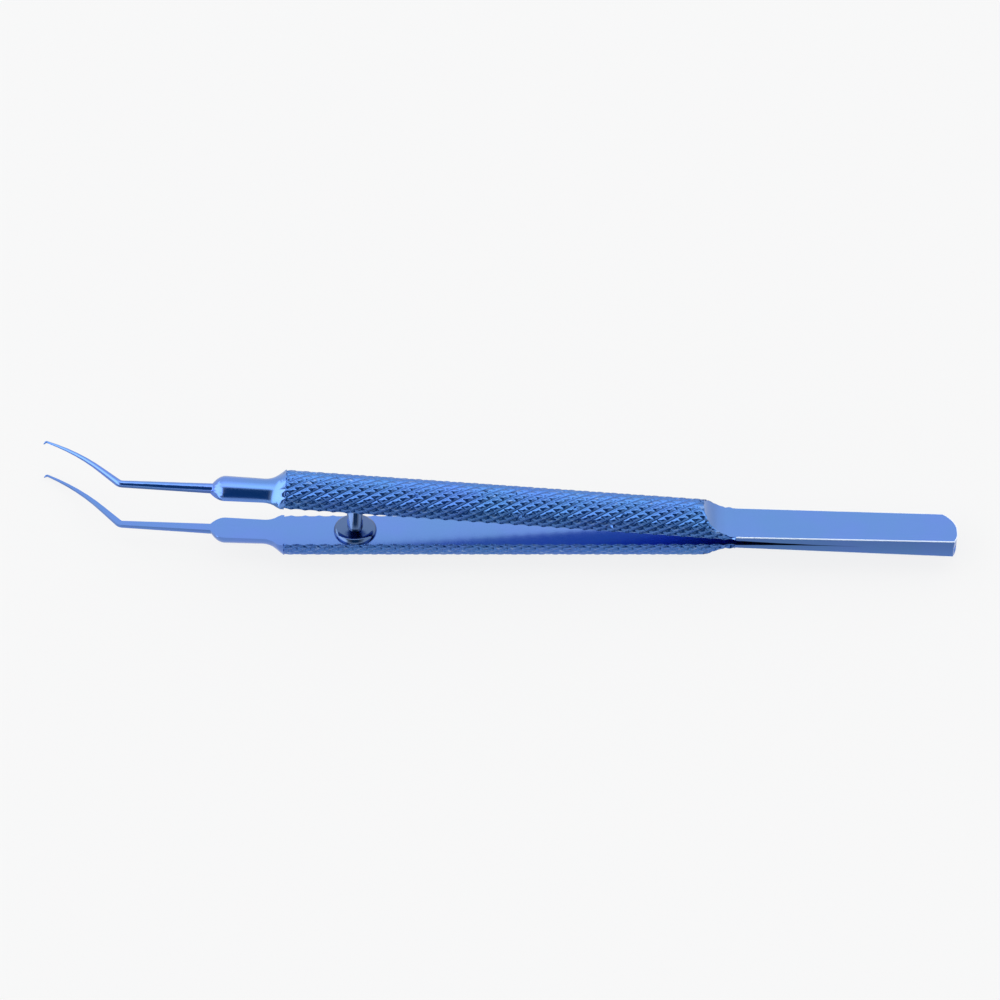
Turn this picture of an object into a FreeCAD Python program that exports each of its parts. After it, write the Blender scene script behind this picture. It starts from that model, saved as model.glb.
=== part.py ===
import FreeCAD, Part

import math
import os

# Capsulorhexis forceps for eye surgery, in titanium, millimetres.
# Two springy arms, each cut from one round bar, are welded together at the tail.
# A guide pin stands on the lower arm and runs into a blind hole in the upper one.
#
# The arm frame has +X from the tips to the tail and +Z out of the arm's inner flat.
# Its origin is in the middle of that flat, at the front end of the knurling.
# The upper arm is the lower arm mirrored in the welded seam.
# The finished part lies as it rests on a table: on the knurled back of its lower
# arm and on that arm's tip, rolled towards the side that the tips are bent to.

Vector = FreeCAD.Vector

# Grip: round bar, milled to a D
grip_length = 50.0
grip_radius = 2.76
grip_axis_depth = 0.30

# Diamond knurling of the grip
knurl_starts = 17
knurl_pitch = 1.675
knurl_depth = 0.27

# Run-out of the mill behind the grip, and the springy leaf behind that
runout_length = 4.2
leaf_thickness = 0.50
leaf_length = 15.4
opening_angle = 5.30

# Welded tail plate
tail_length = 11.3
tail_thickness = 1.22
tail_front_width = 5.38
tail_rear_width = 5.05
tail_end_radius = 3.8
tail_end_offset = -0.6

# Half-round neck in front of the grip, bent a little inwards and to the blade's side
front_angle = 2.3
front_side_angle = 1.3
flare_length = 2.4
flare_side_length = 1.8
neck_length = 4.7
neck_rear_radius = 1.75
neck_front_radius = 1.83
nose_length = 1.75

# Shaft, a deep U in section with its flat inwards
shaft_length = 10.5
shaft_rear_width = 1.16
shaft_rear_depth = 0.92
shaft_front_width = 0.78
shaft_front_depth = 0.66

# Blade beyond the bend, and its cutting hook
bend_angle = 46.0
bend_radius = 0.80
blade_straight_length = 3.4
blade_curved_length = 8.4
blade_turn_back = 20.0
blade_inward_angle = 2.1
blade_end_width = 0.22
blade_end_depth = 0.21
hook_angle = 84.0
hook_bend_radius = 0.14
hook_length = 0.38
hook_point_width = 0.10

# Guide pin with its round shoulder, and its hole in the upper arm
pin_position = 8.6
pin_radius = 0.95
pin_height = 3.70
pin_end_chamfer = 0.20
pin_shank_length = 2.0
pin_hole_relief = 0.10
shoulder_radius = 2.58
shoulder_height = 0.62
shoulder_rounding = 0.55
guide_side_clearance = 0.30
guide_end_clearance = 0.20
tip_clearance = 0.05


# Sizes that follow from those above

grip_depth = grip_radius + grip_axis_depth
leaf_start = grip_length + runout_length
half_angle = math.radians(opening_angle) / 2
leaf_curve_radius = leaf_length / half_angle
seam_direction = Vector(math.cos(half_angle), 0, -math.sin(half_angle))
seam_normal = Vector(math.sin(half_angle), 0, math.cos(half_angle))
weld_front = Vector(
    leaf_start + leaf_curve_radius * math.sin(half_angle),
    0,
    -leaf_curve_radius * (1 - math.cos(half_angle)),
)
flex_point = weld_front - seam_direction * (leaf_length / 2)


def arc(first, middle, last):
    return Part.Arc(first, middle, last).toShape()


def line(first, last):
    return Part.makeLine(first, last)


def prism_between(edges, direction):
    face = Part.Face(Part.Wire(edges))
    return face.extrude(direction)


# Knurled bar

def knurl_node(row, column):
    """Point where two grooves cross, or the peak of a diamond between them."""
    is_peak = (row + column) % 2 == 0
    radius = grip_radius if is_peak else grip_radius - knurl_depth
    angle = column * math.pi / knurl_starts
    return Vector(
        row * knurl_pitch / 2,
        radius * math.sin(angle),
        -grip_axis_depth - radius * math.cos(angle),
    )


def knurled_bar():
    """The knurled back of the bar, open above the inner flat and closed there by plain facets."""
    rows = math.ceil(leaf_start / (knurl_pitch / 2))
    flat_edge_angle = math.pi / 2 + math.asin(grip_axis_depth / grip_radius)
    columns = math.ceil(flat_edge_angle * knurl_starts / math.pi)
    closing_height = 0.25

    points = []
    index = {}
    for row in range(rows + 1):
        for column in range(-columns, columns + 1):
            index[row, column] = len(points)
            points.append(knurl_node(row, column))
    front = len(points)
    points.append(Vector(0, 0, closing_height))
    back = len(points)
    points.append(Vector(rows * knurl_pitch / 2, 0, closing_height))

    facets = []
    steps = [(1, 0), (0, 1), (-1, 0), (0, -1)]
    for row in range(rows + 1):
        for column in range(-columns, columns + 1):
            if (row + column) % 2:
                continue
            peak = index[row, column]
            for number, step in enumerate(steps):
                following = steps[(number + 1) % 4]
                near = index.get((row + step[0], column + step[1]))
                far = index.get((row + following[0], column + following[1]))
                if near is not None and far is not None:
                    facets.append((peak, far, near))
    for row in range(rows):
        facets.append((index[row + 1, columns], index[row, columns], front))
        facets.append((index[row, -columns], index[row + 1, -columns], front))
    facets.append((back, index[rows, columns], front))
    facets.append((index[rows, -columns], back, front))
    for column in range(-columns, columns):
        facets.append((front, index[0, column + 1], index[0, column]))
        facets.append((back, index[rows, column], index[rows, column + 1]))

    shell = Part.Shape()
    shell.makeShapeFromMesh((points, facets), 0.0001)
    return Part.Solid(Part.Shell(shell.Faces))


def grip():
    """The knurled bar milled flat inside, and down to the leaf behind."""
    side = grip_radius + 1
    below = -grip_depth - 1
    runout_radius = (runout_length ** 2 + (grip_depth - leaf_thickness) ** 2) / (
        2 * (grip_depth - leaf_thickness)
    )
    sweep = math.asin(runout_length / runout_radius)
    centre = Vector(leaf_start, -side, -leaf_thickness - runout_radius)
    runout_middle = centre + Vector(-math.sin(sweep / 2), 0, math.cos(sweep / 2)) * runout_radius
    corners = [
        Vector(0, -side, 0),
        Vector(leaf_start, -side, 0),
        Vector(leaf_start, -side, -leaf_thickness),
        Vector(grip_length, -side, -grip_depth),
        Vector(grip_length, -side, below),
        Vector(0, -side, below),
    ]
    edges = [
        line(corners[0], corners[1]),
        line(corners[1], corners[2]),
        arc(corners[2], runout_middle, corners[3]),
        line(corners[3], corners[4]),
        line(corners[4], corners[5]),
        line(corners[5], corners[0]),
    ]
    return knurled_bar().common(prism_between(edges, Vector(0, 2 * side, 0)))


# Leaf and tail plate

def tail():
    """The thin leaf that springs, and the thicker plate that is welded."""
    side = tail_front_width
    tail_end = weld_front + seam_direction * tail_length
    inner_start = Vector(leaf_start, 0, 0)
    inner_middle = Vector(
        leaf_start + leaf_curve_radius * math.sin(half_angle / 2),
        0,
        -leaf_curve_radius * (1 - math.cos(half_angle / 2)),
    )
    outer_end = tail_end - seam_normal * tail_thickness
    outer_start = Vector(leaf_start, 0, -leaf_thickness)
    edges = [
        arc(inner_start, inner_middle, weld_front),
        line(weld_front, tail_end),
        line(tail_end, outer_end),
        line(outer_end, outer_start),
        line(outer_start, inner_start),
    ]
    profile = prism_between(edges, Vector(0, 2 * side, 0))
    profile.translate(Vector(0, -side, 0))
    return profile.common(tail_outline(tail_end.x))


def tail_outline(end):
    """Plan of the tail seen from above: a slow taper with a round, slightly skew end."""
    half_front = tail_front_width / 2
    half_rear = tail_rear_width / 2
    centre = Vector(end - tail_end_radius, tail_end_offset, 0)

    def end_point(across):
        reach = math.sqrt(tail_end_radius ** 2 - (across - tail_end_offset) ** 2)
        return Vector(centre.x + reach, across, 0)

    front_far = Vector(leaf_start, half_front, 0)
    front_near = Vector(leaf_start, -half_front, 0)
    rear_far = end_point(half_rear)
    rear_near = end_point(-half_rear)
    edges = [
        line(front_near, front_far),
        line(front_far, rear_far),
        arc(rear_far, end_point(tail_end_offset), rear_near),
        line(rear_near, front_near),
    ]
    plate = prism_between(edges, Vector(0, 0, 4 * grip_depth))
    plate.translate(Vector(0, 0, -2 * grip_depth))
    return plate


# Neck, shaft and blade

def front_placement():
    """Tilt of all that lies in front of the grip: inwards, and to the blade's side."""
    inwards = FreeCAD.Rotation(Vector(0, 1, 0), front_angle)
    sideways = FreeCAD.Rotation(Vector(0, 0, 1), -front_side_angle)
    return FreeCAD.Placement(Vector(0, 0, 0), inwards * sideways)


def d_section(position, half_width, depth):
    """Flat at z = 0 with a round back, across the arm at x = position."""
    left = Vector(position, -half_width, 0)
    right = Vector(position, half_width, 0)
    bottom = Vector(position, 0, -depth)
    return Part.Wire([line(left, right), arc(right, bottom, left)])


def front_d_section(position, half_width, depth):
    section = d_section(position, half_width, depth)
    return section.transformed(front_placement().toMatrix())


def u_section(point, heading, width, depth):
    """A U with its flat on top, square to a heading measured from -X towards +Y."""
    across = Vector(math.sin(heading), math.cos(heading), 0) * (width / 2)
    shoulder = Vector(0, 0, -(depth - width / 2))
    left = point - across
    right = point + across
    bottom = point + Vector(0, 0, -depth)
    return Part.Wire([
        line(left, right),
        line(right, right + shoulder),
        arc(right + shoulder, bottom, left + shoulder),
        line(left + shoulder, left),
    ])


def concave_rise(start, end, length, ahead):
    """Size at a distance ahead of the flare's wide end, on an arc tangent to the neck."""
    rise = end - start
    if ahead >= length:
        return start
    arc_radius = (length ** 2 + rise ** 2) / (2 * rise)
    return start + arc_radius - math.sqrt(arc_radius ** 2 - (length - ahead) ** 2)


def neck():
    """Flare, half-round neck and rounded nose, lofted through D sections."""
    steps = 6
    grip_half_width = math.sqrt(grip_radius ** 2 - grip_axis_depth ** 2)
    sections = [d_section(0, grip_half_width, grip_depth)]
    side_start = flare_length - flare_side_length
    for step in range(1, steps + 1):
        ahead = flare_length * step / steps
        side_ahead = max(0, ahead - side_start)
        half_width = concave_rise(
            neck_rear_radius, grip_half_width, flare_side_length, side_ahead
        )
        depth = concave_rise(neck_rear_radius, grip_depth, flare_length, ahead)
        sections.append(front_d_section(-ahead, half_width, depth))
    flare = Part.makeLoft(sections, True, True)

    neck_front = -flare_length - neck_length
    front_section = front_d_section(neck_front, neck_front_radius, neck_front_radius)
    waist = Part.makeLoft([sections[-1], front_section], True, True)

    nose_end_radius = shaft_rear_width / 2
    nose_sections = [front_section]
    for step in range(1, steps + 1):
        share = step / steps
        radius = neck_front_radius - (neck_front_radius - nose_end_radius) * share ** 2
        nose_sections.append(front_d_section(neck_front - nose_length * share, radius, radius))
    nose = Part.makeLoft(nose_sections, True, True)
    return flare.fuse([waist, nose])


def shaft_rear():
    """The shaft starts a little way inside the nose."""
    return -flare_length - neck_length - 0.8 * nose_length


def shaft_front():
    return -flare_length - neck_length - nose_length - shaft_length


def blade_line(along):
    """Point and heading on the blade's line: straight first, then curving back and inwards."""
    bend = math.radians(bend_angle)
    start = Vector(
        shaft_front() - bend_radius * math.sin(bend),
        bend_radius * (1 - math.cos(bend)),
        0,
    )
    straight = min(along, blade_straight_length)
    point = start + Vector(-math.cos(bend), math.sin(bend), 0) * straight
    curve_radius = blade_curved_length / math.radians(blade_turn_back)
    heading = bend - (along - straight) / curve_radius
    point = point + Vector(
        curve_radius * (math.sin(heading) - math.sin(bend)),
        curve_radius * (math.cos(heading) - math.cos(bend)),
        along * math.tan(math.radians(blade_inward_angle)),
    )
    return point, heading


def blade_end():
    point, heading = blade_line(blade_straight_length + blade_curved_length)
    return point


def shaft_and_blade():
    """Tapered shaft, sharp bend, curved blade and the hook at its point."""
    rear = u_section(Vector(shaft_rear(), 0, 0), 0, shaft_rear_width, shaft_rear_depth)
    front = u_section(Vector(shaft_front(), 0, 0), 0, shaft_front_width, shaft_front_depth)
    shaft = Part.makeLoft([rear, front], True, True)
    elbow = Part.Face(front).revolve(
        Vector(shaft_front(), bend_radius, 0), Vector(0, 0, 1), -bend_angle
    )

    blade_length = blade_straight_length + blade_curved_length
    steps = 8
    sections = []
    for step in range(steps + 1):
        share = step / steps
        point, heading = blade_line(blade_length * share)
        width = shaft_front_width + (blade_end_width - shaft_front_width) * share
        depth = shaft_front_depth + (blade_end_depth - shaft_front_depth) * share
        sections.append(u_section(point, heading, width, depth))
    blade = Part.makeLoft(sections, True, True)

    tip, heading = blade_line(blade_length)
    aside = Vector(-math.sin(heading), -math.cos(heading), 0)
    hook_centre = tip + aside * hook_bend_radius
    hook_bend = Part.Face(sections[-1]).revolve(hook_centre, Vector(0, 0, 1), hook_angle)
    hook_heading = heading - math.radians(hook_angle)
    hook_aside = Vector(-math.sin(hook_heading), -math.cos(hook_heading), 0)
    hook_start = hook_centre - hook_aside * hook_bend_radius
    forward = Vector(-math.cos(hook_heading), math.sin(hook_heading), 0)
    point = hook_start + forward * hook_length
    root_section = u_section(hook_start, hook_heading, blade_end_width, blade_end_depth)
    point_section = u_section(point, hook_heading, hook_point_width, hook_point_width)
    hook = Part.makeLoft([root_section, point_section], True, True)

    whole = shaft.fuse([elbow, blade, hook_bend, hook])
    return whole.transformed(front_placement().toMatrix())


# Arms

def blind_hole(position, radius, depth):
    return Part.makeCylinder(radius, depth + 1, Vector(position, 0, -depth))


def arm(hole):
    body = grip().fuse([tail(), neck(), shaft_and_blade()]).removeSplitter()
    return body.cut(hole)


def closing_angle():
    """Turn of the upper arm, in radians, that brings the tips together."""
    tip = front_placement().multVec(blade_end())
    from_flex = tip - flex_point
    ahead = abs(from_flex.dot(seam_direction))
    apart = abs(from_flex.dot(seam_normal))
    return 2 * math.atan((apart - tip_clearance / 2) / ahead)


def in_upper_arm(point, closed):
    """A point of the lower arm seen in the upper arm's own frame, open or closed."""
    moved = point - flex_point
    if closed:
        turn = FreeCAD.Rotation(Vector(0, 1, 0), math.degrees(closing_angle()))
        moved = turn.multVec(moved)
    moved = moved - seam_normal * (2 * moved.dot(seam_normal))
    return moved + flex_point


def guide_hole():
    """Blind hole of the upper arm, in line with the pin as it enters and when it is home."""
    pin_top = Vector(pin_position, 0, pin_height)
    top_when_closed = in_upper_arm(pin_top, True)
    foot_when_closed = in_upper_arm(Vector(pin_position, 0, shoulder_height), True)
    share = top_when_closed.z / (top_when_closed.z - foot_when_closed.z)
    mouth = top_when_closed.x + (foot_when_closed.x - top_when_closed.x) * share
    position = (mouth + top_when_closed.x) / 2
    depth = -top_when_closed.z + guide_end_clearance
    return blind_hole(position, pin_radius + guide_side_clearance, depth)


def guide_pin():
    """Turned pin: shank in the lower arm, round shoulder on its flat, post above."""
    top = pin_height
    corner = shoulder_radius - shoulder_rounding
    rounding_middle = Vector(
        corner + shoulder_rounding * math.sin(math.pi / 4),
        0,
        shoulder_height - shoulder_rounding * (1 - math.cos(math.pi / 4)),
    )
    points = [
        Vector(0, 0, -pin_shank_length),
        Vector(pin_radius, 0, -pin_shank_length),
        Vector(pin_radius, 0, 0),
        Vector(shoulder_radius, 0, 0),
        Vector(shoulder_radius, 0, shoulder_height - shoulder_rounding),
        Vector(corner, 0, shoulder_height),
        Vector(pin_radius, 0, shoulder_height),
        Vector(pin_radius, 0, top - pin_end_chamfer),
        Vector(pin_radius - pin_end_chamfer, 0, top),
        Vector(0, 0, top),
    ]
    edges = []
    for number, point in enumerate(points):
        following = points[(number + 1) % len(points)]
        if number == 4:
            edges.append(arc(point, rounding_middle, following))
        else:
            edges.append(line(point, following))
    pin = Part.Face(Part.Wire(edges)).revolve(Vector(0, 0, 0), Vector(0, 0, 1), 360)
    pin.translate(Vector(pin_position, 0, 0))
    return pin


# Place of the part on the table

def tail_corner():
    """Far corner of the tail plate's outer face, the lowest point of the tail at rest."""
    end = weld_front + seam_direction * tail_length
    outer_end = end - seam_normal * tail_thickness
    across = tail_rear_width / 2
    reach = math.sqrt(tail_end_radius ** 2 - (across - tail_end_offset) ** 2)
    ahead = end.x - tail_end_radius + reach
    share = (ahead - leaf_start) / (outer_end.x - leaf_start)
    return Vector(ahead, across, -leaf_thickness + (outer_end.z + leaf_thickness) * share)


def resting_turn():
    """Turn that brings the tip, the grip's front end and the tail's far corner level."""
    tip = blade_end() + Vector(0, blade_end_width / 2, -blade_end_depth)
    tip = front_placement().multVec(tip)
    tail = tail_corner()
    lowest = Vector(0, 0, -grip_depth)
    for attempt in range(20):
        upwards = (lowest - tip).cross(tail - tip)
        if upwards.z < 0:
            upwards = -upwards
        upwards.normalize()
        slope = math.hypot(upwards.y, upwards.z)
        lowest = Vector(
            0,
            -grip_radius * upwards.y / slope,
            -grip_axis_depth - grip_radius * upwards.z / slope,
        )
    turn = FreeCAD.Rotation(Vector(1, 0, 0), Vector(0, 1, 0), upwards, "ZXY")
    return turn.inverted()


def build():
    pin_hole = blind_hole(pin_position, pin_radius, pin_shank_length + pin_hole_relief)
    parts = {
        "lower_arm": arm(pin_hole),
        "upper_arm": arm(guide_hole()).mirror(weld_front, seam_normal),
        "guide_pin": guide_pin(),
    }
    rest = FreeCAD.Placement(Vector(0, 0, 0), resting_turn())
    for name in parts:
        parts[name] = parts[name].transformed(rest.toMatrix())
    box = Part.makeCompound(list(parts.values())).optimalBoundingBox()
    shift = Vector(-box.Center.x, -box.Center.y, -box.ZMin)
    for shape in parts.values():
        shape.translate(shift)

    os.makedirs("parts", exist_ok=True)
    for name, shape in parts.items():
        shape.exportStep("parts/" + name + ".step")
    print("hinge point", rest.multVec(flex_point) + shift)
    print("hinge axis", rest.multVec(Vector(0, -1, 0)))
    print("closing", math.degrees(closing_angle()))
    print("arm's axes", rest.multVec(Vector(1, 0, 0)), rest.multVec(Vector(0, 0, 1)))
    print("arm's origin", shift)
    return parts


build()
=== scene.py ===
import math

import bmesh
import bpy
import numpy as np
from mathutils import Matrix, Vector


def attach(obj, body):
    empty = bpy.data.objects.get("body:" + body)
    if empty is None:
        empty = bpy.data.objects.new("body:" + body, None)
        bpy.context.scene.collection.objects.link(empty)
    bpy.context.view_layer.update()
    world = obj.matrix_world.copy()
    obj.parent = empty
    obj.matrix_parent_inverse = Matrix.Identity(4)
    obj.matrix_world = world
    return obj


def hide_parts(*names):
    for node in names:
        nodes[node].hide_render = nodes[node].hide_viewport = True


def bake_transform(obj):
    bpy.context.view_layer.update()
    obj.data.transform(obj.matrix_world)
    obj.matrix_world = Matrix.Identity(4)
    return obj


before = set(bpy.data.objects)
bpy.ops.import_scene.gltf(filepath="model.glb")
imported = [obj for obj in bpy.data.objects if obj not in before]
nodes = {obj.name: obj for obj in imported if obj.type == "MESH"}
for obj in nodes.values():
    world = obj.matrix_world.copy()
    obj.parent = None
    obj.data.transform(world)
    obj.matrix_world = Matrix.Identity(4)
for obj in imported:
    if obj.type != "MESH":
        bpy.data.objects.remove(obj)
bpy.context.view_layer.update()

# Capsulorhexis forceps in blue anodised titanium, lying on a white table.
# The row frame has +X from the tips to the tail and +Z up, in metres.

# The lower arm's own frame as the instrument lies at rest: x along the arm, z out of its
# inner flat, origin at the front end of the knurling. These three are the placement that
# the part's source works out from its contacts with the table.
ARM_ORIGIN = Vector((-0.0258385406, -0.0037555256, 0.0030288291))
ARM_X = Vector((0.9999999767, 0.0, -0.0002157804)).normalized()
ARM_Z = Vector((0.0001863720, 0.5039860956, 0.8637117463)).normalized()
ARM_Y = ARM_Z.cross(ARM_X)
HALF_OPENING = math.radians(5.30 / 2)

GRIP_LENGTH = 0.050
GRIP_RADIUS = 0.00276
GRIP_AXIS_DEPTH = 0.00030
RUNOUT_LENGTH = 0.0042
LEAF_LENGTH = 0.0154
LEAF_THICKNESS = 0.00050
LEAF_HALF_WIDTH = 0.00269
LEAF_START = GRIP_LENGTH + RUNOUT_LENGTH

# The hollow between grip and leaf is an arc over the leaf's start.
RUNOUT_DROP = GRIP_RADIUS + GRIP_AXIS_DEPTH - LEAF_THICKNESS
RUNOUT_RADIUS = (RUNOUT_LENGTH ** 2 + RUNOUT_DROP ** 2) / (2 * RUNOUT_DROP)
RUNOUT_CENTRE = (LEAF_START, -LEAF_THICKNESS - RUNOUT_RADIUS)
RUNOUT_MESH_SAG = 0.00004

# The knurling's two sets of spiral grooves, in metres or as a share of KNURL_DEPTH.
KNURL_STARTS = 17
KNURL_PITCH = 0.001675
KNURL_DEPTH = 0.00027
KNURL_CUTS = 5
KNURL_FRONT_FADE = (0.00002, 0.0002)
KNURL_FLAT_FADE = (0.00001, 0.00012)
KNURL_HOLLOW_FADE = (0.00001, 0.00015)
KNURL_TAIL_FADE = (GRIP_LENGTH + 0.0020, GRIP_LENGTH + 0.0032)
GROOVE_SHARPNESS = 1.35
MAIN_GROOVE_WIDTH = 0.50
MINOR_GROOVE_WIDTH = 0.46
MINOR_GROOVE = 0.80
PIT_DEPTH = 0.16
PIT_RADIUS = 0.11

LEAF_SIDES_START = LEAF_START - 0.0018
LEAF_SIDES_END = LEAF_START - 0.0001
# Material slots of the arms, after the satin blue that covers the rest. The first is a pale colour
# that paints a highlight on the edge bevels.
PAINTED_HIGHLIGHT_EDGE = 1
KNURLED = 2

# Width of the edge bevels that carry the painted highlight.
PAINTED_HIGHLIGHT_EDGE_WIDTH = 0.00010
PIN_EDGE_WIDTH = 0.00004
SHARP_EDGE = math.radians(40)
SMOOTH_ANGLE = math.radians(32)
NEAR = 1e-6

# The seam is the plane in which the two tails are welded. The upper arm is the lower one
# mirrored in it, and the leaf is bent so that its end runs along it.
LEAF_RADIUS = LEAF_LENGTH / HALF_OPENING
WELD_FRONT = Vector((
    LEAF_START + LEAF_RADIUS * math.sin(HALF_OPENING),
    0,
    -LEAF_RADIUS * (1 - math.cos(HALF_OPENING)),
))
SEAM_NORMAL = Vector((math.sin(HALF_OPENING), 0, math.cos(HALF_OPENING)))


ARM_AXES = np.array([ARM_X, ARM_Y, ARM_Z])


def mirrored_direction(direction):
    """A direction mirrored in the seam."""
    normal = np.array(SEAM_NORMAL)
    return direction - 2 * (direction @ normal) * normal


def mirrored_points(points):
    """Points of the lower arm's frame mirrored in the seam."""
    normal = np.array(SEAM_NORMAL)
    return points - 2 * ((points - np.array(WELD_FRONT)) @ normal)[:, None] * normal


def arm_points(points, upper):
    """Row frame points in the arm's own frame; the upper arm's are mirrored in the seam."""
    local = (points - np.array(ARM_ORIGIN)) @ ARM_AXES.T
    return mirrored_points(local) if upper else local


def row_points(local, upper):
    """Points of the arm's own frame in the row frame."""
    placed = mirrored_points(local) if upper else local
    return placed @ ARM_AXES + np.array(ARM_ORIGIN)


# Modelling helpers

def deselect():
    if bpy.context.object and bpy.context.object.mode != "OBJECT":
        bpy.ops.object.mode_set(mode="OBJECT")
    bpy.ops.object.select_all(action="DESELECT")


def activate(piece):
    deselect()
    piece.select_set(True)
    bpy.context.view_layer.objects.active = piece


def merged_copy(node_name, piece_name):
    """A copy of a CAD node whose loose triangles are joined into one skin."""
    piece = nodes[node_name].copy()
    piece.data = nodes[node_name].data.copy()
    piece.parent = None
    for key in list(piece.keys()):
        if key.startswith("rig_"):
            del piece[key]
    piece.name = piece_name
    piece.data.name = piece_name
    bpy.context.scene.collection.objects.link(piece)
    activate(piece)
    bpy.ops.object.mode_set(mode="EDIT")
    bpy.ops.mesh.select_all(action="SELECT")
    bpy.ops.mesh.remove_doubles(threshold=1e-6)
    bpy.ops.object.mode_set(mode="OBJECT")
    return piece


def coordinates(mesh):
    flat = np.zeros(len(mesh.vertices) * 3)
    mesh.vertices.foreach_get("co", flat)
    return flat.reshape(-1, 3)


def set_coordinates(mesh, points):
    mesh.vertices.foreach_set("co", points.ravel())
    mesh.update()


def groove(phase, width):
    """Depth share of a V groove with hollow sides that repeats with the phase."""
    away = np.abs(phase - np.round(phase)) / width
    return np.clip(1 - away, 0, 1) ** GROOVE_SHARPNESS


def fade(value, low, high):
    """Rises smoothly from 0 at low to 1 at high."""
    share = np.clip((value - low) / (high - low), 0, 1)
    return share * share * (3 - 2 * share)


def from_grip_axis(local):
    """Distance from the axis of the grip's round back."""
    return np.hypot(local[:, 1], local[:, 2] + GRIP_AXIS_DEPTH)


def from_runout_centre(local):
    """Distance from the axis of the hollow between grip and leaf."""
    return np.hypot(local[:, 0] - RUNOUT_CENTRE[0], local[:, 2] - RUNOUT_CENTRE[1])


def on_grip_skin(local):
    """Which points lie on the grip's round back, the hollow's rim included."""
    return (
        (local[:, 0] > -NEAR)
        & (local[:, 0] < LEAF_START)
        & (local[:, 2] < 0.1 * NEAR)
        & (from_grip_axis(local) > GRIP_RADIUS - KNURL_DEPTH * 1.2)
    )


def knurled(local):
    """Which points lie on the knurled back, and not on the run-out behind it."""
    before_runout = local[:, 0] < GRIP_LENGTH + NEAR
    off_runout = from_runout_centre(local) > RUNOUT_RADIUS + 2 * NEAR
    return on_grip_skin(local) & (before_runout | off_runout)


def runout_faces(mesh, local, upper):
    """The faces of the hollow between grip and leaf, by place and direction."""
    near_arc = np.abs(from_runout_centre(local) - RUNOUT_RADIUS) < RUNOUT_MESH_SAG
    along = (local[:, 0] > GRIP_LENGTH - 0.0004) & (local[:, 0] < LEAF_START + 10 * NEAR)
    candidate = near_arc & along
    found = []
    for face in mesh.polygons:
        corners = list(face.vertices)
        if not candidate[corners].all():
            continue
        normal = ARM_AXES @ np.array(face.normal)
        if upper:
            normal = mirrored_direction(normal)
        middle = local[corners].mean(axis=0)
        towards = np.array([RUNOUT_CENTRE[0] - middle[0], 0, RUNOUT_CENTRE[1] - middle[2]])
        if normal @ towards > 0.98 * np.linalg.norm(towards):
            found.append(face.index)
    return found


def divide_skin(piece, upper):
    """Divides the knurled back and the hollow finely, and marks the knurled faces."""
    mesh = piece.data
    local = arm_points(coordinates(mesh), upper)
    on_skin = on_grip_skin(local)
    hollow = runout_faces(mesh, local, upper)
    activate(piece)
    bpy.ops.object.mode_set(mode="EDIT")
    bpy.ops.mesh.select_all(action="DESELECT")
    form = bmesh.from_edit_mesh(mesh)
    for face in form.faces:
        corners = [vertex.index for vertex in face.verts]
        middle = local[corners].mean(axis=0)
        behind_flare = middle[0] > NEAR and middle[2] < -NEAR
        if on_skin[corners].all() and behind_flare and knurled(middle[None, :])[0]:
            face.select_set(True)
            face.material_index = KNURLED
    form.faces.ensure_lookup_table()
    for index in hollow:
        form.faces[index].select_set(True)
    for edge in form.edges:
        sides = [face.select for face in edge.link_faces]
        if len(sides) == 2 and sides[0] != sides[1]:
            edge.smooth = False
    bmesh.update_edit_mesh(mesh)
    bpy.ops.mesh.subdivide(number_cuts=KNURL_CUTS)
    bpy.ops.object.mode_set(mode="OBJECT")


def round_hollow(mesh, local, upper):
    """Moves the hollow's points onto its true arc."""
    smooth = sorted({
        vertex
        for face in runout_faces(mesh, local, upper)
        for vertex in mesh.polygons[face].vertices
    })
    reach = local[smooth][:, [0, 2]] - RUNOUT_CENTRE
    reach *= (RUNOUT_RADIUS / np.hypot(reach[:, 0], reach[:, 1]))[:, None]
    local[smooth, 0] = RUNOUT_CENTRE[0] + reach[:, 0]
    local[smooth, 2] = RUNOUT_CENTRE[1] + reach[:, 1]


def knurl_depth_share(local, upper):
    """How deep the two sets of grooves and their pits are at each point.

    The grooves that rise to the tail are deep and run through; those of the other
    hand are shallower, so the tops stay joined into notched ribs."""
    below = local[:, 2] + GRIP_AXIS_DEPTH
    turn = np.arctan2(local[:, 1], -below) / (2 * math.pi)
    along = local[:, 0] / KNURL_PITCH
    hand = -1 if upper else 1
    wander = 0.05 * np.sin(along * 0.71 + turn * 5.0) + 0.04 * np.sin(along * 0.23 + 1.3)
    main = along + hand * KNURL_STARTS * turn
    cross = along - hand * KNURL_STARTS * turn + wander
    uneven = 0.88 + 0.12 * np.sin(along * 1.9 + turn * 31.0)
    minor = MINOR_GROOVE * uneven * groove(cross, MINOR_GROOVE_WIDTH)
    depth = np.maximum(groove(main, MAIN_GROOVE_WIDTH), minor)
    off_main = main - np.floor(main) - 0.5
    off_cross = cross - np.floor(cross) - 0.5
    pit = np.exp(-(off_main ** 2 + off_cross ** 2) / (2 * PIT_RADIUS ** 2))
    return depth + PIT_DEPTH * pit


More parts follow.
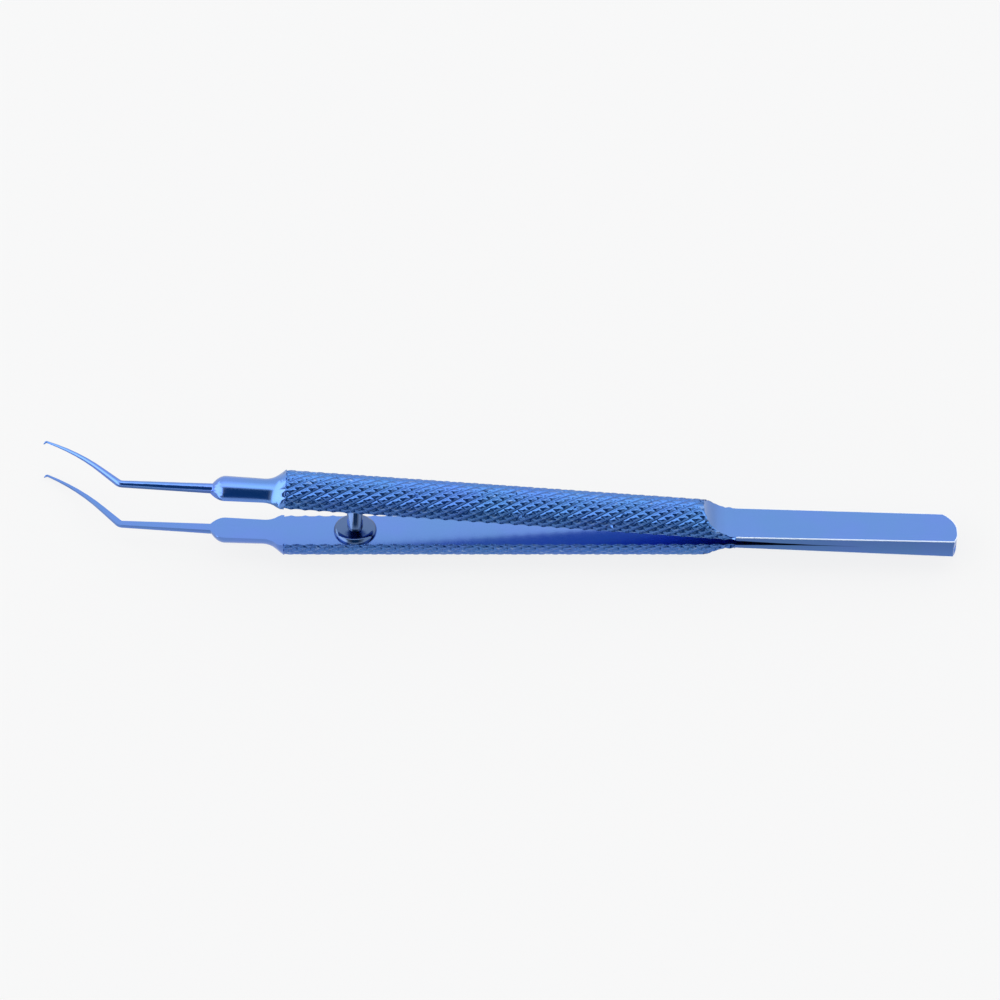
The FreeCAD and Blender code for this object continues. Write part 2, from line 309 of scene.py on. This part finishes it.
def cut_knurl(piece, upper):
    """Divides the grip's skin and cuts the knurling, which fades out at all its borders."""
    divide_skin(piece, upper)
    mesh = piece.data
    local = arm_points(coordinates(mesh), upper)
    round_hollow(mesh, local, upper)
    radial = from_grip_axis(local)
    cut = GRIP_RADIUS - KNURL_DEPTH * knurl_depth_share(local, upper)
    clear_of_runout = np.where(
        local[:, 0] < GRIP_LENGTH - 0.0004,
        1.0,
        fade(from_runout_centre(local) - RUNOUT_RADIUS, *KNURL_HOLLOW_FADE),
    )
    inside = (
        fade(local[:, 0], *KNURL_FRONT_FADE)
        * clear_of_runout
        * fade(-local[:, 2], *KNURL_FLAT_FADE)
        * (1 - fade(local[:, 0], *KNURL_TAIL_FADE))
        * knurled(local)
    )
    scale = 1 + inside * (cut / np.maximum(radial, NEAR) - 1)
    narrow = fade(local[:, 0], LEAF_SIDES_START, LEAF_SIDES_END)
    limit = GRIP_RADIUS - (GRIP_RADIUS - LEAF_HALF_WIDTH) * narrow
    limit[(local[:, 0] < LEAF_SIDES_START) | (local[:, 0] > LEAF_START - NEAR)] = 1.0
    across = local[:, 1] * scale
    below = (local[:, 2] + GRIP_AXIS_DEPTH) * scale
    local[:, 1] = np.clip(across, -limit, limit)
    local[:, 2] = below - GRIP_AXIS_DEPTH
    set_coordinates(mesh, row_points(local, upper))


def join_flats(piece):
    """Joins the triangles of each plane face into one, so that its edges can be broken."""
    activate(piece)
    bpy.ops.object.mode_set(mode="EDIT")
    bpy.ops.mesh.select_all(action="DESELECT")
    form = bmesh.from_edit_mesh(piece.data)
    for edge in form.edges:
        if len(edge.link_faces) == 2 and edge.calc_face_angle(1.0) < math.radians(0.2):
            if min(face.calc_area() for face in edge.link_faces) > 1e-12:
                edge.select_set(True)
    bmesh.update_edit_mesh(piece.data)
    bpy.ops.mesh.dissolve_edges(use_verts=False)
    bpy.ops.object.mode_set(mode="OBJECT")


def break_tail_edges(piece, upper):
    """A fine bevel along the outer edges of the leaf and the tail plate, painted pale as a
    highlight.
    """
    mesh = piece.data
    local = arm_points(coordinates(mesh), upper)
    bent = np.clip(local[:, 0] - LEAF_START, 0, LEAF_LENGTH) / LEAF_RADIUS
    past = np.clip(local[:, 0] - WELD_FRONT.x, 0, None)
    inner = -LEAF_RADIUS * (1 - np.cos(bent)) - past * math.tan(HALF_OPENING)
    outside = (local[:, 0] > LEAF_START - NEAR) & (local[:, 2] < inner - 0.4 * LEAF_THICKNESS)
    activate(piece)
    bpy.ops.object.mode_set(mode="EDIT")
    bpy.ops.mesh.select_all(action="DESELECT")
    form = bmesh.from_edit_mesh(mesh)
    for edge in form.edges:
        ends = [vertex.index for vertex in edge.verts]
        if len(edge.link_faces) == 2 and outside[ends].all():
            if edge.calc_face_angle(0.0) > SHARP_EDGE:
                edge.select_set(True)
    bmesh.update_edit_mesh(mesh)
    # The bevel takes the pale edge colour, a painted highlight.
    bpy.ops.mesh.bevel(
        offset=PAINTED_HIGHLIGHT_EDGE_WIDTH, segments=2, clamp_overlap=False, material=PAINTED_HIGHLIGHT_EDGE
    )
    bpy.ops.object.mode_set(mode="OBJECT")


def shade_hollow(piece, upper):
    """Gives the hollow the true normals of its arc, which meets the leaf smoothly."""
    mesh = piece.data
    local = arm_points(coordinates(mesh), upper)
    flat = np.zeros(len(mesh.loops) * 3)
    mesh.corner_normals.foreach_get("vector", flat)
    normals = flat.reshape(-1, 3)
    for index in runout_faces(mesh, local, upper):
        for loop in mesh.polygons[index].loop_indices:
            point = local[mesh.loops[loop].vertex_index]
            normal = np.array([RUNOUT_CENTRE[0] - point[0], 0, RUNOUT_CENTRE[1] - point[2]])
            normal /= np.linalg.norm(normal)
            if upper:
                normal = mirrored_direction(normal)
            normals[loop] = normal @ ARM_AXES
    mesh.normals_split_custom_set(normals)


def break_pin_edges(piece):
    """A fine bevel on the sharp edges of the guide pin."""
    activate(piece)
    bevel = piece.modifiers.new("broken edges", "BEVEL")
    bevel.width = PIN_EDGE_WIDTH
    bevel.segments = 2
    bevel.limit_method = "ANGLE"
    bevel.angle_limit = math.radians(50)
    bevel.use_clamp_overlap = True
    bpy.ops.object.modifier_apply(modifier=bevel.name)


def shade_metal(piece):
    """Shades the rounds smooth and keeps the flats flat."""
    activate(piece)
    bpy.ops.object.shade_smooth_by_angle(angle=SMOOTH_ANGLE)
    weighted = piece.modifiers.new("flat faces stay flat", "WEIGHTED_NORMAL")
    weighted.weight = 100
    weighted.keep_sharp = True
    bpy.ops.object.modifier_apply(modifier=weighted.name)


# Material helpers

def group_with(name, inputs, outputs):
    """An empty node group with named sockets, and its input and output nodes."""
    group = bpy.data.node_groups.new(name, "ShaderNodeTree")
    for label, kind, value in inputs:
        socket = group.interface.new_socket(label, in_out="INPUT", socket_type=kind)
        if value is not None:
            socket.default_value = value
    for label, kind in outputs:
        group.interface.new_socket(label, in_out="OUTPUT", socket_type=kind)
    return group, group.nodes.new("NodeGroupInput"), group.nodes.new("NodeGroupOutput")


def math_node(tree, operation, first, second=None, third=None, clamp=False):
    """One step of arithmetic; each value is a number or another node's socket."""
    node = tree.nodes.new("ShaderNodeMath")
    node.operation = operation
    node.use_clamp = clamp
    for number, value in enumerate((first, second, third)):
        if value is None:
            continue
        if isinstance(value, (int, float)):
            node.inputs[number].default_value = value
        else:
            tree.links.new(value, node.inputs[number])
    return node.outputs[0]


def dot_with(tree, vector, direction):
    """How far a position reaches along a fixed direction."""
    node = tree.nodes.new("ShaderNodeVectorMath")
    node.operation = "DOT_PRODUCT"
    tree.links.new(vector, node.inputs[0])
    node.inputs[1].default_value = direction
    return node.outputs["Value"]


def noise(tree, vector, scale, detail, roughness):
    node = tree.nodes.new("ShaderNodeTexNoise")
    node.inputs["Scale"].default_value = scale
    node.inputs["Detail"].default_value = detail
    node.inputs["Roughness"].default_value = roughness
    tree.links.new(vector, node.inputs["Vector"])
    return node.outputs["Fac"]


def ramp(tree, value, stops):
    """A colour that passes smoothly through the stops, from 0 to 1."""
    node = tree.nodes.new("ShaderNodeValToRGB")
    node.color_ramp.interpolation = "EASE"
    elements = node.color_ramp.elements
    while len(elements) < len(stops):
        elements.new(0.5)
    for element, (position, colour) in zip(elements, stops):
        element.position = position
        element.color = (*colour, 1.0)
    tree.links.new(value, node.inputs["Fac"])
    return node.outputs["Color"]


def linear(red, green, blue):
    """sRGB bytes as a linear colour."""
    out = []
    for part in (red, green, blue):
        share = part / 255
        out.append(share / 12.92 if share <= 0.04045 else ((share + 0.055) / 1.055) ** 2.4)
    return tuple(out)


# Effects that the materials share

def make_satin_grain():
    """Fine lines left by the wheel along one direction, for roughness and bump."""
    group, start, end = group_with(
        "satin grain",
        [
            ("Position", "NodeSocketVector", None),
            ("Lines per metre", "NodeSocketFloat", 9000.0),
            ("Stretch", "NodeSocketFloat", 0.04),
        ],
        [("Grain", "NodeSocketFloat"), ("Cloud", "NodeSocketFloat")],
    )
    along = dot_with(group, start.outputs["Position"], ARM_X)
    across = dot_with(group, start.outputs["Position"], ARM_Y)
    through = dot_with(group, start.outputs["Position"], ARM_Z)
    squeezed = math_node(group, "MULTIPLY", along, start.outputs["Stretch"])
    combine = group.nodes.new("ShaderNodeCombineXYZ")
    group.links.new(squeezed, combine.inputs[0])
    group.links.new(across, combine.inputs[1])
    group.links.new(through, combine.inputs[2])
    lines = group.nodes.new("ShaderNodeTexNoise")
    lines.inputs["Detail"].default_value = 4.0
    lines.inputs["Roughness"].default_value = 0.65
    group.links.new(start.outputs["Lines per metre"], lines.inputs["Scale"])
    group.links.new(combine.outputs[0], lines.inputs["Vector"])
    cloud = noise(group, start.outputs["Position"], 420.0, 3.0, 0.55)
    group.links.new(lines.outputs["Fac"], end.inputs["Grain"])
    group.links.new(cloud, end.inputs["Cloud"])
    return group


def make_anodised_blue():
    """Colour of the oxide film: it drifts a little and turns paler on worn edges."""
    group, start, end = group_with(
        "anodised blue",
        [
            ("Position", "NodeSocketVector", None),
            ("Film", "NodeSocketColor", (0.1, 0.3, 0.8, 1.0)),
            ("Worn", "NodeSocketColor", (0.4, 0.6, 1.0, 1.0)),
            ("Wear", "NodeSocketFloat", 0.4),
        ],
        [("Color", "NodeSocketColor")],
    )
    drift = noise(group, start.outputs["Position"], 160.0, 2.0, 0.5)
    fine = noise(group, start.outputs["Position"], 5200.0, 2.0, 0.6)
    geometry = group.nodes.new("ShaderNodeNewGeometry")
    edge = math_node(group, "SUBTRACT", geometry.outputs["Pointiness"], 0.5)
    edge = math_node(group, "MULTIPLY", edge, 9.0)
    uneven = math_node(group, "MULTIPLY", fine, 0.5)
    edge = math_node(group, "SUBTRACT", edge, uneven)
    edge = math_node(group, "MULTIPLY", edge, 1.6, clamp=True)
    worn = math_node(group, "MULTIPLY", edge, start.outputs["Wear"], clamp=True)
    shade = group.nodes.new("ShaderNodeHueSaturation")
    value = math_node(group, "MULTIPLY_ADD", drift, 0.22, 0.89)
    hue = math_node(group, "MULTIPLY_ADD", drift, 0.03, 0.485)
    group.links.new(hue, shade.inputs["Hue"])
    group.links.new(value, shade.inputs["Value"])
    group.links.new(start.outputs["Film"], shade.inputs["Color"])
    mix = group.nodes.new("ShaderNodeMix")
    mix.data_type = "RGBA"
    group.links.new(worn, mix.inputs["Factor"])
    group.links.new(shade.outputs["Color"], mix.inputs["A"])
    group.links.new(start.outputs["Worn"], mix.inputs["B"])
    group.links.new(mix.outputs["Result"], end.inputs["Color"])
    return group


SATIN_GRAIN = make_satin_grain()
ANODISED_BLUE = make_anodised_blue()


def place_group(tree, group, position, values):
    """A shared effect put into a material with the material's own values."""
    node = tree.nodes.new("ShaderNodeGroup")
    node.node_tree = group
    tree.links.new(position, node.inputs["Position"])
    for label, value in values.items():
        node.inputs[label].default_value = value
    return node


def metal(name, film, worn, wear, roughness, spread, lines, stretch, bump_depth,
          metallic=1.0):
    """Anodised titanium with satin grain, drift of colour and worn edges."""
    material = bpy.data.materials.new(name)
    material.use_nodes = True
    tree = material.node_tree
    shader = tree.nodes["Principled BSDF"]
    shader.inputs["Metallic"].default_value = metallic
    position = tree.nodes.new("ShaderNodeTexCoord").outputs["Object"]

    colour = place_group(tree, ANODISED_BLUE, position, {
        "Film": (*film, 1.0), "Worn": (*worn, 1.0), "Wear": wear,
    })
    grain = place_group(tree, SATIN_GRAIN, position, {
        "Lines per metre": lines, "Stretch": stretch,
    })
    tree.links.new(colour.outputs["Color"], shader.inputs["Base Color"])

    rough = math_node(tree, "MULTIPLY_ADD", grain.outputs["Grain"], spread, roughness - spread / 2)
    rough = math_node(tree, "MULTIPLY_ADD", grain.outputs["Cloud"], spread * 0.6, rough)
    tree.links.new(rough, shader.inputs["Roughness"])

    bump = tree.nodes.new("ShaderNodeBump")
    bump.inputs["Strength"].default_value = 0.35
    bump.inputs["Distance"].default_value = bump_depth
    tree.links.new(grain.outputs["Grain"], bump.inputs["Height"])
    tree.links.new(bump.outputs["Normal"], shader.inputs["Normal"])
    return material


titanium = metal(
    "satin blue titanium",
    film=linear(98, 136, 205), worn=linear(150, 182, 235), wear=0.0,
    roughness=0.17, spread=0.08, lines=16000.0, stretch=0.03, bump_depth=0.000003,
)
# The edge bevels are painted a near-white colour as a highlight, so they are pale from every side.
highlight_edge_titanium = metal(
    "edge with painted highlight",
    film=linear(222, 233, 252), worn=linear(222, 233, 252), wear=0.0,
    roughness=0.42, spread=0.10, lines=16000.0, stretch=0.03, bump_depth=0.000002,
    metallic=0.25,
)
knurled_titanium = metal(
    "knurled blue titanium",
    film=linear(76, 119, 190), worn=linear(160, 190, 235), wear=0.34,
    roughness=0.15, spread=0.08, lines=16000.0, stretch=0.30, bump_depth=0.000003,
)
turned = metal(
    "turned blue titanium",
    film=linear(82, 106, 148), worn=linear(150, 180, 225), wear=0.20,
    roughness=0.14, spread=0.06, lines=9000.0, stretch=1.0, bump_depth=0.000002,
)


# The arms and the guide pin

lower_arm = merged_copy("lower_arm", "lower_arm_finished")
upper_arm = merged_copy("upper_arm", "upper_arm_finished")
guide_pin = merged_copy("guide_pin", "guide_pin_finished")

ARM_COATS = (titanium, highlight_edge_titanium, knurled_titanium)
for piece, coats in (
    (lower_arm, ARM_COATS),
    (upper_arm, ARM_COATS),
    (guide_pin, (turned,)),
):
    piece.data.materials.clear()
    for coat in coats:
        piece.data.materials.append(coat)

for arm, upper in ((lower_arm, False), (upper_arm, True)):
    join_flats(arm)
    break_tail_edges(arm, upper)
    cut_knurl(arm, upper)
    shade_metal(arm)
    shade_hollow(arm, upper)
break_pin_edges(guide_pin)
shade_metal(guide_pin)

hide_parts("lower_arm")
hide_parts("upper_arm")
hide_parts("guide_pin")
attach(lower_arm, "lower_body")
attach(guide_pin, "lower_body")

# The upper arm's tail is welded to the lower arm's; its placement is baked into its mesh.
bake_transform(upper_arm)


# Table, light and camera

TABLE_SIZE = 3.0
TABLE_WHITE = linear(250, 250, 250)
SEEN_GLOW = 0.96
SEEN_SHARE = 0.90
# Levels of the painted light and shade that the metal sees in the table.
FAR_FRONT_GLOW = 0.57
NEAR_FRONT_GLOW = 0.38
BEHIND_GLOW = 0.22

deselect()
bpy.ops.mesh.primitive_plane_add(size=TABLE_SIZE)
floor = bpy.context.object
floor.name = "table"
floor_material = bpy.data.materials.new("white table")
floor_material.use_nodes = True
floor_tree = floor_material.node_tree
floor_shader = floor_tree.nodes["Principled BSDF"]
floor_shader.inputs["Base Color"].default_value = (*TABLE_WHITE, 1.0)
floor_shader.inputs["Roughness"].default_value = 0.9
floor_shader.inputs["Specular IOR Level"].default_value = 0.1
floor_glow = floor_tree.nodes.new("ShaderNodeEmission")
floor_glow.inputs["Color"].default_value = (*TABLE_WHITE, 1.0)
floor_rays = floor_tree.nodes.new("ShaderNodeLightPath")

# In reflections the table carries painted light and shade: bright near and behind the instrument,
# dimmer in front.
floor_place = floor_tree.nodes.new("ShaderNodeTexCoord").outputs["Object"]
floor_split = floor_tree.nodes.new("ShaderNodeSeparateXYZ")
floor_tree.links.new(floor_place, floor_split.inputs[0])
depth = floor_split.outputs["Y"]
near_front = math_node(floor_tree, "MULTIPLY_ADD", depth, 80.0, 2.2, clamp=True)
behind = math_node(floor_tree, "MULTIPLY_ADD", depth, 100.0, -0.8, clamp=True)
glow = math_node(floor_tree, "MULTIPLY_ADD", near_front, NEAR_FRONT_GLOW, FAR_FRONT_GLOW)
glow = math_node(floor_tree, "MULTIPLY_ADD", behind, BEHIND_GLOW, glow)
glow = math_node(floor_tree, "SUBTRACT", glow, SEEN_GLOW)
glow = math_node(floor_tree, "MULTIPLY_ADD", glow, floor_rays.outputs["Is Glossy Ray"], SEEN_GLOW)
floor_tree.links.new(glow, floor_glow.inputs["Strength"])

# What the camera sees keeps a tenth of the lit table, and with it the soft shadow.
seen = math_node(floor_tree, "MULTIPLY", floor_rays.outputs["Is Camera Ray"], SEEN_SHARE)
seen = math_node(floor_tree, "MAXIMUM", seen, floor_rays.outputs["Is Glossy Ray"])
floor_mix = floor_tree.nodes.new("ShaderNodeMixShader")
floor_tree.links.new(seen, floor_mix.inputs["Fac"])
floor_tree.links.new(floor_shader.outputs[0], floor_mix.inputs[1])
floor_tree.links.new(floor_glow.outputs[0], floor_mix.inputs[2])
floor_tree.links.new(floor_mix.outputs[0], floor_tree.nodes["Material Output"].inputs["Surface"])
floor.data.materials.append(floor_material)

# The photograph is PHOTO_SIZE pixels wide, and a pixel is PIXEL metres at the arm's origin,
# which lies at ARM_ORIGIN_PIXEL in it.
CAMERA_ELEVATION = math.radians(71.3)
CAMERA_DISTANCE = 0.60
SENSOR_WIDTH = 36.0
PHOTO_SIZE = 1000
PIXEL = 0.0001202
ARM_ORIGIN_PIXEL = (283.7, 530.2)

back = Vector((0, -math.cos(CAMERA_ELEVATION), math.sin(CAMERA_ELEVATION)))
right = Vector((1, 0, 0))
up = back.cross(right)
middle = PHOTO_SIZE / 2
aim = (
    ARM_ORIGIN
    + right * (middle - ARM_ORIGIN_PIXEL[0]) * PIXEL
    + up * (ARM_ORIGIN_PIXEL[1] - middle) * PIXEL
)

camera_data = bpy.data.cameras.new("photo view")
camera = bpy.data.objects.new("photo view", camera_data)
bpy.context.scene.collection.objects.link(camera)
bpy.context.scene.camera = camera
camera_data.sensor_width = SENSOR_WIDTH
camera_data.lens = SENSOR_WIDTH * CAMERA_DISTANCE / (PHOTO_SIZE * PIXEL)
camera_data.clip_start = 0.05
camera_data.clip_end = 10.0
camera.location = aim + back * CAMERA_DISTANCE
camera.rotation_mode = "QUATERNION"
camera.rotation_quaternion = back.to_track_quat("Z", "Y")


# The tent is bright behind and low in front, and dark in a broad band from above the
# front horizon to straight up. Each row of TENT is an angle, a level and a colour; an
# angle of 0 is the front horizon, 90 straight up and 180 the rear horizon.
# Far to the sides the tent is lit too, so that slopes along the instrument shine. Each
# row of SIDES is how far a direction points to +X, and a level.
WHITE = (1.0, 1.0, 1.0)
DUSK = (0.07, 0.50, 1.0)
TENT = [
    (0, 1.10, WHITE), (16, 1.00, WHITE), (24, 0.22, DUSK), (60, 0.19, DUSK),
    (96, 0.19, DUSK), (104, 1.40, WHITE), (110, 2.20, WHITE), (124, 2.00, WHITE),
    (146, 1.50, WHITE), (160, 1.20, WHITE), (180, 1.22, WHITE),
]
SIDES = [
    (-1.0, 2.80), (-0.68, 2.50), (-0.54, 0.50), (-0.36, 0.28), (-0.24, 0.0),
    (0.24, 0.0), (0.36, 0.28), (0.54, 0.50), (0.68, 1.15), (1.0, 1.20),
]
world = bpy.data.worlds.new("light tent")
bpy.context.scene.world = world
world.use_nodes = True
tree = world.node_tree
tree.nodes.clear()
direction = tree.nodes.new("ShaderNodeTexCoord").outputs["Generated"]
split = tree.nodes.new("ShaderNodeSeparateXYZ")
tree.links.new(direction, split.inputs[0])
front = math_node(tree, "MULTIPLY", split.outputs["Y"], -1.0)
angle = math_node(tree, "ARCTAN2", split.outputs["Z"], front)
share = math_node(tree, "DIVIDE", angle, math.pi, clamp=True)
walls = ramp(tree, share, [
    (degrees / 180, tuple(level * part for part in colour)) for degrees, level, colour in TENT
])
sideways = math_node(tree, "MULTIPLY_ADD", split.outputs["X"], 0.5, 0.5)
sides = ramp(tree, sideways, [((place + 1) / 2, (level, level, level)) for place, level in SIDES])
tent = tree.nodes.new("ShaderNodeMix")
tent.data_type = "RGBA"
tent.blend_type = "LIGHTEN"
tent.inputs["Factor"].default_value = 1.0
tree.links.new(walls, tent.inputs["A"])
tree.links.new(sides, tent.inputs["B"])
background = tree.nodes.new("ShaderNodeBackground")
tree.links.new(tent.outputs["Result"], background.inputs["Color"])
out = tree.nodes.new("ShaderNodeOutputWorld")
tree.links.new(background.outputs[0], out.inputs["Surface"])

bpy.context.scene.view_settings.view_transform = "Standard"
